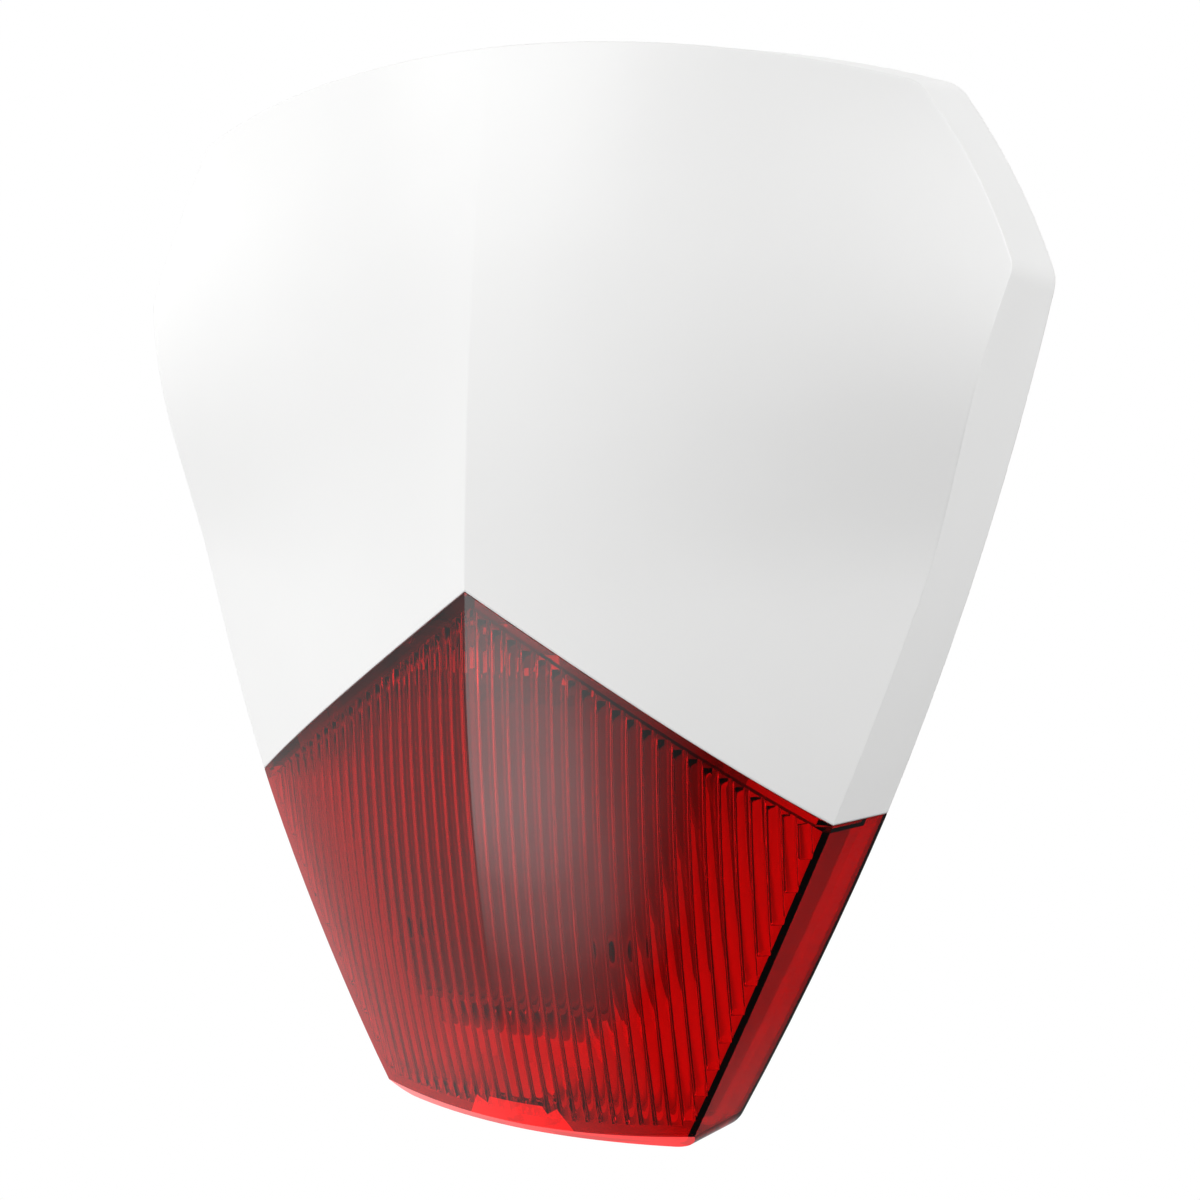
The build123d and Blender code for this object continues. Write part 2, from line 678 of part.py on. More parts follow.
def make_antenna():
    foot_z, tip_z = AERIAL_Z
    wire_y = MAIN_Y - AERIAL_STAND
    foot = rod_y(AERIAL_X, foot_z, wire_y, MAIN_Y, AERIAL_R)
    elbow = Pos(AERIAL_X, wire_y, foot_z) * Sphere(AERIAL_R)
    return foot + rod_z(AERIAL_X, wire_y, foot_z, tip_z, AERIAL_R) + elbow


def make_board_socket():
    body = block(SOCKET_X, (MAIN_Y - SOCKET_H, MAIN_Y), SOCKET_Z)
    well_y = (MAIN_Y - SOCKET_H - 1, MAIN_Y - 2 * SOCKET_WALL)
    return body - block(shrink(SOCKET_X, SOCKET_WALL), well_y, shrink(SOCKET_Z, SOCKET_WALL))


# ---------------------------------------------------------------- switches
def make_tamper_body(x, z, y_front, y_back, bore_front, bore_back):
    half = TAMPER_BODY / 2
    body = block((x - half, x + half), (y_front, y_back), (z - half, z + half))
    return body - rod_y(x, z, bore_front, bore_back, PLUNGER_R + FIT)


def make_front_tamper_switch():
    x, z = FRONT_TAMPER
    return make_tamper_body(x, z, MAIN_Y - TAMPER_H, MAIN_Y, MAIN_Y - CUT, MAIN_Y - TAMPER_FLOOR)


def make_front_tamper_plunger():
    x, z = FRONT_TAMPER
    return rod_y(x, z, FRONT_TAMPER_TIP_Y, MAIN_Y - PLUNGER_FOOT, PLUNGER_R)


def make_wall_tamper_switch():
    x, z = WALL_TAMPER
    seat_y = MAIN_Y + BOARD_T
    return make_tamper_body(x, z, seat_y, -PLATE_T - WALL_GAP, seat_y + TAMPER_FLOOR, 0)


def make_wall_tamper_plunger():
    x, z = WALL_TAMPER
    return rod_y(x, z, WALL_PLUNGER_Y, -FIT, PLUNGER_R)


def coil_wire(coil, radius):
    return sweep(Plane(origin=coil @ 0, z_dir=coil % 0) * Circle(radius), path=coil, is_frenet=True)


def make_tamper_spring():
    x, z = FRONT_TAMPER
    y_low, y_high = TAMPER_COIL_Y
    height = y_high - y_low
    coil = Helix(pitch=height / TAMPER_TURNS, height=height, radius=TAMPER_COIL_R)
    return Pos(x, MAIN_Y + y_high, z) * Rot(90, 0, 0) * coil_wire(coil, TAMPER_WIRE_R)


def make_power_switch():
    body = block(POWER_X, (MAIN_Y - POWER_H, MAIN_Y), POWER_Z)
    return body - block(POWER_SLOT_X, (MAIN_Y - CUT, MAIN_Y - POWER_FLOOR), POWER_SLOT_Z)


def make_power_slider():
    depth = (MAIN_Y - SLIDER_H, MAIN_Y - POWER_FLOOR - 0.1)
    return block(SLIDER_X, depth, shrink(POWER_SLOT_Z, 0.1))


def make_reset_switch():
    x, z = RESET
    half = RESET_BODY / 2
    body = block((x - half, x + half), (MAIN_Y - RESET_H, MAIN_Y), (z - half, z + half))
    return body - rod_y(x, z, MAIN_Y - CUT, MAIN_Y - RESET_H + 2.0, RESET_R + FIT)


def make_reset_button():
    return rod_y(*RESET, MAIN_Y - RESET_H - 2.0, MAIN_Y - RESET_H + 1.5, RESET_R)


def make_status_led():
    flange_r, flange_t = STATUS_FLANGE
    dome = rod_y(*STATUS, MAIN_Y - STATUS_H, MAIN_Y, STATUS_R)
    return dome + rod_y(*STATUS, MAIN_Y - flange_t, MAIN_Y, flange_r)


# ---------------------------------------------------------------- batteries
def cell_heights():
    return [TRAY_Z + (i - (CELLS - 1) / 2) * CELL_PITCH for i in range(CELLS)]


def make_battery_tray():
    half_h = CELLS * CELL_PITCH / 2 + TRAY_RIM
    wide = (TRAY_X - TRAY_HALF_W, TRAY_X + TRAY_HALF_W)
    tray = block(wide, (TRAY_Y - TRAY_H, TRAY_FLOOR_Y), (TRAY_Z - half_h, TRAY_Z + half_h))
    well_r = CELL_R + CELL_SLACK
    bay = shrink(wide, TRAY_WALL)
    for z in cell_heights():
        tray -= rod_x(CELL_Y, z, bay[0], bay[1], well_r)
        tray -= block(bay, (CELL_Y - CUT, CELL_Y), (z - well_r, z + well_r))
    return tray


def cell_ends(index):
    """Inner faces of the tray, with the positive end first for this cell."""
    low_x = TRAY_X - TRAY_HALF_W + TRAY_WALL
    high_x = TRAY_X + TRAY_HALF_W - TRAY_WALL
    return (low_x, high_x, 1) if index % 2 == 0 else (high_x, low_x, -1)


def make_cells():
    cells = []
    for index, z in enumerate(cell_heights()):
        plus, _, way = cell_ends(index)
        tip = plus + way * CELL_TIP
        ends = sorted((tip + way * CELL_NUB, tip + way * (CELL_NUB + CELL_L)))
        nub = sorted((tip, tip + way * CELL_NUB))
        cells.append(rod_x(CELL_Y, z, *ends, CELL_R) + rod_x(CELL_Y, z, *nub, CELL_NUB_R))
    return Compound(children=cells)


def make_contacts():
    plates = []
    near, far = CONTACT_SPAN
    deep = (CELL_Y - CONTACT_HALF, CELL_Y + CONTACT_HALF)
    for index, z in enumerate(cell_heights()):
        plus, minus, way = cell_ends(index)
        for end, turn in ((plus, way), (minus, -way)):
            span = sorted((end + turn * near, end + turn * far))
            plates.append(block(span, deep, (z - CONTACT_HALF, z + CONTACT_HALF)))
    return Compound(children=plates)


def make_battery_springs():
    springs = []
    for index, z in enumerate(cell_heights()):
        plus, minus, way = cell_ends(index)
        cell_back = plus + way * (CELL_TIP + CELL_NUB + CELL_L)
        length = abs(minus - cell_back) - CONTACT_SPAN[1] - 2 * SPRING_GAP - 0.1
        coil = Helix(pitch=length / SPRING_TURNS, height=length, radius=SPRING_R)
        wire = coil_wire(coil, SPRING_WIRE_R)
        springs.append(Pos(cell_back + way * SPRING_GAP, CELL_Y, z) * Rot(0, 90 * way, 0) * wire)
    return Compound(children=springs)


# ---------------------------------------------------------------- level
def make_spirit_level():
    vial = rod_x(VIAL_Y, VIAL_Z, -VIAL_HALF, VIAL_HALF, VIAL_R)
    for x in (-VIAL_HALF, VIAL_HALF):
        vial += Pos(x, VIAL_Y, VIAL_Z) * Sphere(VIAL_R)
    return vial & block((-FAR, FAR), (-FAR, -PLATE_T), (-FAR, FAR))


if __name__ == "__main__":
    os.makedirs("parts", exist_ok=True)
    save("cover_shell", make_cover_shell())
    save("lens", make_lens())
    save("lens_seal", make_lens_seal())
    save("lens_screws", make_lens_screws())
    save("back_plate", make_back_plate())
    save("cable_grommet", make_grommet())
    save("cover_screw", make_cover_screw())
    save("screw_clip", make_screw_clip())
    save("sound_chamber", make_sound_chamber())
    save("chamber_screws", make_chamber_screws())
    save("sounder_driver", make_sounder_driver())
    save("sounder_diaphragm", make_diaphragm())
    save("horn", make_horn())
    save("main_board", board(*MAIN_PLACE, MAIN_Y, 1.4))
    save("board_screws", small_screws(board_corners(*MAIN_PLACE), MAIN_Y, 6.0, MAIN_SCREW_R, 2.4))
    save("strobe_board", board(*STROBE_PLACE, STROBE_Y, 1.1))
    save("strobe_screws", small_screws(board_corners(*STROBE_PLACE), STROBE_Y, 4.0, STROBE_SCREW_R, 1.9))
    save("strobe_leds", make_strobe_leds())
    save("radio_shield", make_radio_shield())
    save("antenna", make_antenna())
    save("board_socket", make_board_socket())
    save("front_tamper_switch", make_front_tamper_switch())
    save("front_tamper_plunger", make_front_tamper_plunger())
    save("front_tamper_spring", make_tamper_spring())
    save("wall_tamper_switch", make_wall_tamper_switch())
    save("wall_tamper_plunger", make_wall_tamper_plunger())
    save("power_switch", make_power_switch())
    save("power_slider", make_power_slider())
    save("reset_switch", make_reset_switch())
    save("reset_button", make_reset_button())
    save("status_led", make_status_led())
    save("battery_tray", make_battery_tray())
    save("battery_cells", make_cells())
    save("battery_contacts", make_contacts())
    save("battery_springs", make_battery_springs())
    save("spirit_level", make_spirit_level())
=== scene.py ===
import json
import math

import bmesh
import bpy
from mathutils import Matrix, Vector
from mathutils.bvhtree import BVHTree
from mathutils.interpolate import poly_3d_calc


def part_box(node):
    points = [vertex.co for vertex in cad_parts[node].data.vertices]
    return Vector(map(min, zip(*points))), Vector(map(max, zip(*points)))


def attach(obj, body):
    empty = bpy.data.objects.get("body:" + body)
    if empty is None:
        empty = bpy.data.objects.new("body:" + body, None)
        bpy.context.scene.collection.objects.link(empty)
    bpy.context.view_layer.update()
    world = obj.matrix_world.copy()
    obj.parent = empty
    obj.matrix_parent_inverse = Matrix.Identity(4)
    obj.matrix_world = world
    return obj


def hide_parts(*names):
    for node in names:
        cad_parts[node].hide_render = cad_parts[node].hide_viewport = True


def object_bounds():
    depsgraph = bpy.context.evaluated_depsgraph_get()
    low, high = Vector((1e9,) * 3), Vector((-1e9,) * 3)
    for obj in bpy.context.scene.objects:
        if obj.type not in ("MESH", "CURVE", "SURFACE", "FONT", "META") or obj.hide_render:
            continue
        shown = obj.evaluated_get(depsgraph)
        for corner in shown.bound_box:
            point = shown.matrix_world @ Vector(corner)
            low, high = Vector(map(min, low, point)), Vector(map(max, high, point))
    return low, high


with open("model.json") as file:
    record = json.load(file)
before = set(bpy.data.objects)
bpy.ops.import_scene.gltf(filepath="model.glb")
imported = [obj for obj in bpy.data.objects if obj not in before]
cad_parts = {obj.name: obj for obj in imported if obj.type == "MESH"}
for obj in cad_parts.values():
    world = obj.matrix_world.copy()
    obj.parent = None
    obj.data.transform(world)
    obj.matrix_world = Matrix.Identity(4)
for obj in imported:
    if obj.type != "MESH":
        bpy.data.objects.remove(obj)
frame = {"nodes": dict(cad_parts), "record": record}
CAD_LOW, CAD_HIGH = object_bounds()
NODES = frame["nodes"]
MM = 0.001

# ---------------------------------------------------------------- camera
CAMERA_PLACE = Vector((128.0, -318.0, 37.7)) * MM
CAMERA_YAW = math.radians(21.0)
CAMERA_PITCH = math.radians(-6.1)
CAMERA_ROLL = math.radians(0.2)
CAMERA_LENS = 40.9
SENSOR = 36.0
CLIP_START = 0.01

# ---------------------------------------------------------------- flutes inside the lens
# A flute is a low arch on the inner face: RISE high at its middle, STEP high at its sides.
# Its foot is sunk into the lens wall, EMBED deep from the outer face.
FLUTE_PITCH = 3.0 * MM
FLUTE_GAP = 0.12 * MM
FLUTE_STEP = 0.12 * MM
FLUTE_RISE = 0.65 * MM
FLUTE_STEPS = 8
OFF_RIDGE = 0.001 * MM
FLUTE_ROWS = 26
LENS_WALL = 3.0 * MM
LENS_EMBED = 1.4 * MM
LENS_MARGIN = 3.0 * MM
LIP_MARGIN = 3.4 * MM
SHORTEST_FLUTE = 4.0 * MM
SCAN_STEP = 0.25 * MM
SCAN_CLEARANCE = 10.0 * MM
LEAST_ROWS = 4
# Depth per height beyond which the face is the bevel or the joint, not the front.
FACE_SLOPE = 0.80
# Depth per width beyond which the face is the side wall, and the reach over which it is read.
EDGE_SLOPE = 1.6
EDGE_REACH = 0.4 * MM
BEYOND_EDGE = 9.0
# Where a face of the fluted lens counts as lying on the CAD lens.
WELD_REACH = 0.002 * MM
SAME_SURFACE_REACH = 0.01 * MM
SAME_FACE_TURN = 0.98
SAME_CORNER_TURN = 0.9
CORNER_INSET = 0.02
SHARP_ANGLE = math.radians(24)

# ---------------------------------------------------------------- light
# World brightness: stops run from -X (0) to +X (1); LIFT blends from the lower to the upper set.
REFLECTED_STRENGTH = 0.85
FILL_STRENGTH = 1.15
UPPER_STOPS = ((0.0, 0.85), (0.35, 0.9), (0.52, 0.7), (0.68, 0.2), (0.9, 0.2), (0.96, 1.1))
LOWER_STOPS = ((0.0, 0.75), (0.2, 0.8), (0.4, 0.45), (0.62, 0.05), (0.85, 0.05), (0.95, 0.12))
LIFT_STOPS = ((0.33, 0.0), (0.5, 1.0))
# A soft glow in front and below, seen only in reflections; FADE takes it away on the right.
GLOW_FROM = (-0.13, -0.95, -0.28)
GLOW_STOPS = ((0.72, 0.0), (0.82, 0.5), (0.92, 1.7), (0.975, 3.2))
GLOW_FADE = ((0.60, 1.0), (0.74, 0.0))
# Area lamps: place and size in metres, power in watts. The lens lamp lights only what is
# behind the lens, and stands for light that the clear plastic gathers.
FRONT_PLACE = (-0.46, -1.05, 0.88)
FRONT_SIZE = (1.0, 0.7)
FRONT_POWER = 6.6
SIDE_PLACE = (1.3, 0.25, 0.4)
SIDE_SIZE = (0.6, 1.0)
SIDE_POWER = 11.5
SIDE_TARGET = (0.1, 0.0, 0.0)
LENS_LAMP_PLACE = (0.20, -0.20, -0.14)
LENS_LAMP_SIZE = (0.12, 0.12)
LENS_LAMP_POWER = 0.58
LENS_LAMP_TARGET = (0.02, -0.02, -0.07)
FLOOR_REACH = 6.0
FLOOR_DROP = 0.25

# ---------------------------------------------------------------- finishes
# Painted glow: the lens's bevelled foot emits light where its face turns this way, within this cosine.
FOOT_FACING = (0.0, -0.67, -0.74)
FOOT_SPREAD = 0.9
FOOT_GLOW = 0.7
# Width of the painted edge highlight on the chamber's dark plastic.
CHAMBER_HIGHLIGHT_EDGE = 3.0 * MM
BEVEL_SAMPLES = 6


# ---------------------------------------------------------------- node helpers
class Tree:
    """A node tree, with short calls for adding and linking nodes."""

    def __init__(self, tree):
        self.nodes = tree.nodes
        self.links = tree.links

    def put(self, node, key, value):
        if isinstance(value, bpy.types.NodeSocket):
            self.links.new(value, node.inputs[key])
        else:
            node.inputs[key].default_value = value

    def add(self, kind, **inputs):
        node = self.nodes.new(kind)
        for key, value in inputs.items():
            self.put(node, key.replace("_", " "), value)
        return node

    def math(self, operation, first, second):
        node = self.nodes.new("ShaderNodeMath")
        node.operation = operation
        self.put(node, 0, first)
        self.put(node, 1, second)
        return node.outputs[0]

    def dot(self, first, second):
        node = self.nodes.new("ShaderNodeVectorMath")
        node.operation = "DOT_PRODUCT"
        self.put(node, 0, first)
        self.put(node, 1, second)
        return node.outputs["Value"]

    def axes(self, vector):
        return self.add("ShaderNodeSeparateXYZ", Vector=vector).outputs

    def ramp(self, factor, stops):
        node = self.add("ShaderNodeValToRGB", Fac=factor)
        elements = node.color_ramp.elements
        while len(elements) < len(stops):
            elements.new(0.5)
        for element, (position, colour) in zip(elements, stops):
            element.position = position
            element.color = colour
        return node.outputs["Color"]

    def grey_ramp(self, factor, stops):
        return self.ramp(factor, [(position, grey(value)) for position, value in stops])

    def mix_colour(self, blend, factor, first, second):
        node = self.add("ShaderNodeMixRGB", Fac=factor, Color1=first, Color2=second)
        node.blend_type = blend
        return node.outputs["Color"]

    def mix_shader(self, factor, first, second):
        node = self.add("ShaderNodeMixShader", Fac=factor)
        self.put(node, 1, first.outputs[0])
        self.put(node, 2, second.outputs[0])
        return node


class Finish(Tree):
    """A material's node tree around one Principled shader, in object coordinates."""

    def __init__(self, name):
        self.material = bpy.data.materials.new(name)
        self.material.use_nodes = True
        super().__init__(self.material.node_tree)
        self.shader = self.nodes["Principled BSDF"]
        self.place = self.nodes.new("ShaderNodeTexCoord").outputs["Object"]

    def set(self, **inputs):
        for key, value in inputs.items():
            self.put(self.shader, key.replace("_", " "), value)

    def surface(self, node):
        self.put(self.nodes["Material Output"], "Surface", node.outputs[0])

    def noise(self, scale, detail=3.0):
        node = self.add("ShaderNodeTexNoise", Vector=self.place, Scale=scale, Detail=detail)
        return node.outputs["Fac"]

    def stretched_noise(self, scale, stretch):
        mapping = self.add("ShaderNodeMapping", Vector=self.place, Scale=stretch)
        node = self.add("ShaderNodeTexNoise", Vector=mapping.outputs["Vector"], Scale=scale, Detail=3.0)
        return node.outputs["Fac"]

    def span(self, factor, low, high):
        return self.add("ShaderNodeMapRange", Value=factor, To_Min=low, To_Max=high).outputs["Result"]

    def bump(self, height, strength, distance, normal=None):
        node = self.add("ShaderNodeBump", Height=height, Strength=strength, Distance=distance)
        if normal is not None:
            self.put(node, "Normal", normal)
        return node.outputs["Normal"]

    def rounded(self, radius):
        node = self.add("ShaderNodeBevel", Radius=radius)
        node.samples = BEVEL_SAMPLES
        return node.outputs["Normal"]


def grey(value):
    return (value, value, value, 1.0)


def moulded(name, colour, roughness=0.35, grain=0.15, grain_scale=1800.0, edge=0.4 * MM, spread=0.06):
    """Moulded plastic: fine spark texture, faint blotches, softened edges."""
    g = Finish(name)
    blotch = g.noise(60.0, 4.0)
    low = tuple(c * (1 - spread) for c in colour) + (1.0,)
    high = tuple(min(1.0, c * (1 + spread)) for c in colour) + (1.0,)
    g.set(Base_Color=g.ramp(blotch, ((0.3, low), (0.7, high))))
    g.set(Roughness=g.span(g.noise(300.0), roughness * 0.85, roughness * 1.15))
    normal = g.bump(g.noise(grain_scale, 2.0), grain, 0.05 * MM, g.rounded(edge))
    g.set(Normal=normal, IOR=1.5)
    return g.material


def metal(name, colour, roughness=0.3, stretch=(1.0, 1.0, 12.0), edge=0.15 * MM):
    """Plated or brushed metal with fine streaks."""
    g = Finish(name)
    streak = g.stretched_noise(900.0, stretch)
    low = tuple(c * 0.86 for c in colour) + (1.0,)
    g.set(Base_Color=g.ramp(streak, ((0.3, low), (0.7, tuple(colour) + (1.0,)))))
    g.set(Metallic=1.0, Roughness=g.span(streak, roughness * 0.8, roughness * 1.3))
    g.set(Normal=g.bump(streak, 0.15, 0.03 * MM, g.rounded(edge)))
    return g.material


def chamber_plastic():
    """Dark moulded plastic with a painted highlight along its edges."""
    g = Finish("dark_plastic")
    shape = g.nodes.new("ShaderNodeNewGeometry")
    flatness = g.dot(shape.outputs["True Normal"], g.rounded(CHAMBER_HIGHLIGHT_EDGE))
    # Painted highlight: the base colour is lighter near edges, where the bevel normal turns away from the
    # face.
    g.set(Base_Color=g.grey_ramp(flatness, ((0.96, 0.25), (0.999, 0.11))))
    g.set(Roughness=g.span(g.noise(300.0), 0.34, 0.46))
    g.set(Normal=g.bump(g.noise(1800.0, 2.0), 0.3, 0.05 * MM, g.rounded(0.4 * MM)))
    return g.material


def rubber(name, value):
    """Matt black rubber with a coarse grain."""
    g = Finish(name)
    g.set(Base_Color=g.grey_ramp(g.noise(200.0), ((0.3, value * 0.8), (0.7, value * 1.3))))
    g.set(Roughness=0.75, Normal=g.bump(g.noise(2500.0), 0.3, 0.05 * MM))
    return g.material


def painted_foot_glow(g):
    """Strength of the painted glow (emission) on the bevelled foot, standing in for light that the clear
    plastic pipes out of it.
    """
    shape = g.nodes.new("ShaderNodeNewGeometry")
    foot = g.math("GREATER_THAN", g.dot(shape.outputs["True Normal"], FOOT_FACING), FOOT_SPREAD)
    outside = g.math("SUBTRACT", 1.0, shape.outputs["Backfacing"])
    return g.math("MULTIPLY", g.math("MULTIPLY", foot, outside), FOOT_GLOW)


def red_lens():
    """Clear red polycarbonate. Lamps reach what is behind it through a plain red filter."""
    g = Finish("lens_red")
    wave = g.noise(25.0, 2.0)
    g.set(Base_Color=(0.82, 0.002, 0.003, 1.0), Roughness=g.span(wave, 0.015, 0.04), IOR=1.55)
    g.set(Transmission_Weight=1.0, Normal=g.bump(wave, 0.03, 0.2 * MM))
    # Painted glow: red emission on the bevelled foot, which is no lamp.
    g.set(Emission_Color=(1.0, 0.004, 0.004, 1.0), Emission_Strength=painted_foot_glow(g))
    plain = g.add("ShaderNodeBsdfTransparent", Color=(0.82, 0.05, 0.05, 1.0))
    path = g.nodes.new("ShaderNodeLightPath")
    lamp_ray = g.math("MAXIMUM", path.outputs["Is Shadow Ray"], path.outputs["Is Diffuse Ray"])
    g.surface(g.mix_shader(lamp_ray, g.shader, plain))
    return g.material


def circuit_board(name, mask, trace):
    """Solder mask over a grid of fine traces and round pads."""
    g = Finish(name)
    turned = g.add("ShaderNodeMapping", Vector=g.place, Rotation=(math.radians(90), 0, 0))
    tracks = g.add("ShaderNodeTexBrick", Vector=turned.outputs["Vector"], Scale=90.0, Mortar_Size=0.012,
                   Brick_Width=0.9, Row_Height=0.22)
    g.put(tracks, "Color1", mask + (1.0,))
    g.put(tracks, "Color2", tuple(c * 0.9 for c in mask) + (1.0,))
    g.put(tracks, "Mortar", trace + (1.0,))
    cells = g.add("ShaderNodeTexVoronoi", Vector=g.place, Scale=220.0)
    is_pad = g.grey_ramp(cells.outputs["Distance"], ((0.10, 1.0), (0.13, 0.0)))
    tin = (0.75, 0.72, 0.62, 1.0)
    g.set(Base_Color=g.mix_colour("MIX", is_pad, tracks.outputs["Color"], tin), Roughness=0.35)
    g.set(Normal=g.bump(tracks.outputs["Fac"], 0.2, 0.05 * MM))
    return g.material


def cell_sleeve():
    """Shrink sleeve of the cells: dark, with an orange ring and pale ends."""
    g = Finish("cell_wrap")
    low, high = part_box("battery_cells")
    place = g.add("ShaderNodeMapRange", Value=g.axes(g.place)["X"], From_Min=low.x, From_Max=high.x)
    dark = (0.05, 0.09, 0.15, 1.0)
    pale = (0.62, 0.64, 0.66, 1.0)
    orange = (0.75, 0.33, 0.05, 1.0)
    stops = ((0.0, pale), (0.05, dark), (0.22, orange), (0.27, dark), (0.95, pale))
    colour = g.ramp(place.outputs["Result"], stops)
    colour.node.color_ramp.interpolation = "CONSTANT"
    g.set(Base_Color=colour, Roughness=0.25, Normal=g.bump(g.noise(120.0), 0.2, 0.1 * MM))
    return g.material


def cover_white():
    """Glossy-satin white ABS with a faint orange peel."""
    g = Finish("cover_white")
    tone = g.ramp(g.noise(14.0, 3.0), ((0.3, (0.90, 0.90, 0.895, 1.0)), (0.7, (0.925, 0.925, 0.92, 1.0))))
    g.set(Base_Color=tone, Roughness=g.span(g.noise(90.0), 0.30, 0.38), IOR=1.5)
    fine = g.bump(g.noise(1600.0, 2.0), 0.06, 0.03 * MM, g.rounded(0.7 * MM))
    g.set(Normal=g.bump(g.noise(45.0, 2.0), 0.02, 0.4 * MM, fine))
    return g.material


# The slots are the record's; the strobe board's is called pcb_white but its solder mask is dark.
MATERIALS = {
    "cover_white": cover_white(),
    "lens_red": red_lens(),
    "seal_rubber": rubber("seal_rubber", 0.03),
    "zinc_screw": metal("zinc_screw", (0.75, 0.74, 0.70), 0.3),
    "stainless": metal("stainless", (0.62, 0.62, 0.61), 0.25),
    "plate_white": moulded("plate_white", (0.80, 0.80, 0.79), 0.5, 0.3, spread=0.02),
    "dark_plastic": chamber_plastic(),
    "black_plastic": moulded("black_plastic", (0.02, 0.02, 0.022), 0.45, 0.3),
    "driver_metal": metal("driver_metal", (0.6, 0.6, 0.62), 0.35),
    "brass_disc": metal("brass_disc", (0.80, 0.60, 0.28), 0.3, (1.0, 1.0, 1.0)),
    "pcb_green": circuit_board("pcb_green", (0.012, 0.13, 0.05), (0.03, 0.22, 0.09)),
    "pcb_white": circuit_board("pcb_white", (0.05, 0.05, 0.055), (0.09, 0.09, 0.09)),
    "led_yellow": moulded("led_yellow", (0.85, 0.72, 0.25), 0.3, 0.05),
    "led_green": moulded("led_green", (0.10, 0.55, 0.20), 0.15, 0.05),
    "tin_can": metal("tin_can", (0.78, 0.78, 0.77), 0.22, (1.0, 1.0, 8.0)),
    "socket_white": moulded("socket_white", (0.80, 0.77, 0.68), 0.4, 0.1),
    "cell_wrap": cell_sleeve(),
    "spring_steel": metal("spring_steel", (0.70, 0.70, 0.68), 0.25),
    "vial": moulded("vial", (0.45, 0.75, 0.08), 0.1, 0.02),
    "button_red": moulded("button_red", (0.60, 0.04, 0.03), 0.4, 0.15),
}
for entry in frame["record"]["subparts"]:
    node = NODES[entry["node"]]
    node.data.materials.clear()
    node.data.materials.append(MATERIALS[entry["material_slot"]])


# ---------------------------------------------------------------- fluted lens
def tree_of(name):
    """Search tree over a CAD node's faces."""
    mesh = NODES[name].data
    points = [v.co.copy() for v in mesh.vertices]
    faces = [tuple(p.vertices) for p in mesh.polygons]
    return BVHTree.FromPolygons(points, faces)


def welded_copy(name, source):
    """Copy of a CAD node's mesh with its doubled vertices joined."""
    mesh = NODES[source].data.copy()
    mesh.name = name
    bm = bmesh.new()
    bm.from_mesh(mesh)
    bmesh.ops.remove_doubles(bm, verts=bm.verts, dist=WELD_REACH)
    bm.to_mesh(mesh)
    bm.free()
    piece = bpy.data.objects.new(name, mesh)
    bpy.context.scene.collection.objects.link(piece)
    return piece


class Skin:
    """Depth of the lens's outer face, read from the CAD lens and cover."""

    def __init__(self):
        self.lens = tree_of("lens")
        self.cover = tree_of("cover_shell")
        self.start = CAD_LOW.y - SCAN_CLEARANCE

    def depth(self, tree, x, z):
        hit = tree.ray_cast(Vector((x, self.start, z)), Vector((0, 1, 0)))
        return None if hit[0] is None else hit[0].y

    def bare(self, x, z):
        """Depth of the lens where it shows, or None where the cover is in front or there is no lens."""
        lens = self.depth(self.lens, x, z)
        cover = self.depth(self.cover, x, z)
        if lens is None or (cover is not None and cover < lens):
            return None
        return lens

    def column(self, x):
        """(lowest, highest) height of the front face at x, between the bevel and the V joint."""
        low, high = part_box("lens")
        steps = int((high.z - low.z) / SCAN_STEP)
        rows = [high.z - i * SCAN_STEP for i in range(steps)]
        depths = [self.bare(x, z) for z in rows]
        run = []
        for above, here, z in zip(depths, depths[1:], rows[1:]):
            seen = above is not None and here is not None
            if seen and abs(here - above) <= FACE_SLOPE * SCAN_STEP:
                run.append(z)
            elif run:
                break
        return (min(run), max(run)) if len(run) > LEAST_ROWS else None

    def edge_slope(self, x, z):
        """How fast the face falls back towards the side at (x, z)."""
        here = self.bare(x, z)
        out = self.bare(x + math.copysign(EDGE_REACH, x), z)
        if here is None or out is None:
            return BEYOND_EDGE
        return (out - here) / EDGE_REACH


def rib_span(skin, x):
    """Height range of the flute centred on x, inside the plain margin of the lens."""
    found = skin.column(x)
    if found is None:
        return None
    low, high = found[0] + LENS_MARGIN, found[1] - LIP_MARGIN
    reach = math.copysign(LENS_MARGIN, x)
    z = low
    while z < high and skin.edge_slope(x + reach, z) > EDGE_SLOPE:
        z += SCAN_STEP
    return (z, high) if high - z > SHORTEST_FLUTE else None


def add_rib(bm, skin, x, low, high):
    """Add one closed flute centred on x, from low to high."""
    half = (FLUTE_PITCH - FLUTE_GAP) / 2
    edges = (x - half, x + half)
    rings = []
    for row in range(FLUTE_ROWS):
        z = low + (high - low) * row / (FLUTE_ROWS - 1)
        ring = []
        for step in range(FLUTE_STEPS + 1):
            across = -1 + 2 * step / FLUTE_STEPS
            rise = FLUTE_STEP + FLUTE_RISE * (1 - across * across)
            place = x + across * half
            ring.append((place, skin.bare(place, z) + LENS_WALL + rise, z))
        for place in reversed(edges):
            ring.append((place, skin.bare(place, z) + LENS_EMBED, z))
        rings.append([bm.verts.new(p) for p in ring])
    count = len(rings[0])
    for a, b in zip(rings, rings[1:]):
        for i in range(count):
            j = (i + 1) % count
            bm.faces.new((a[i], a[j], b[j], b[i]))
    bm.faces.new(list(reversed(rings[0])))
    bm.faces.new(rings[-1])


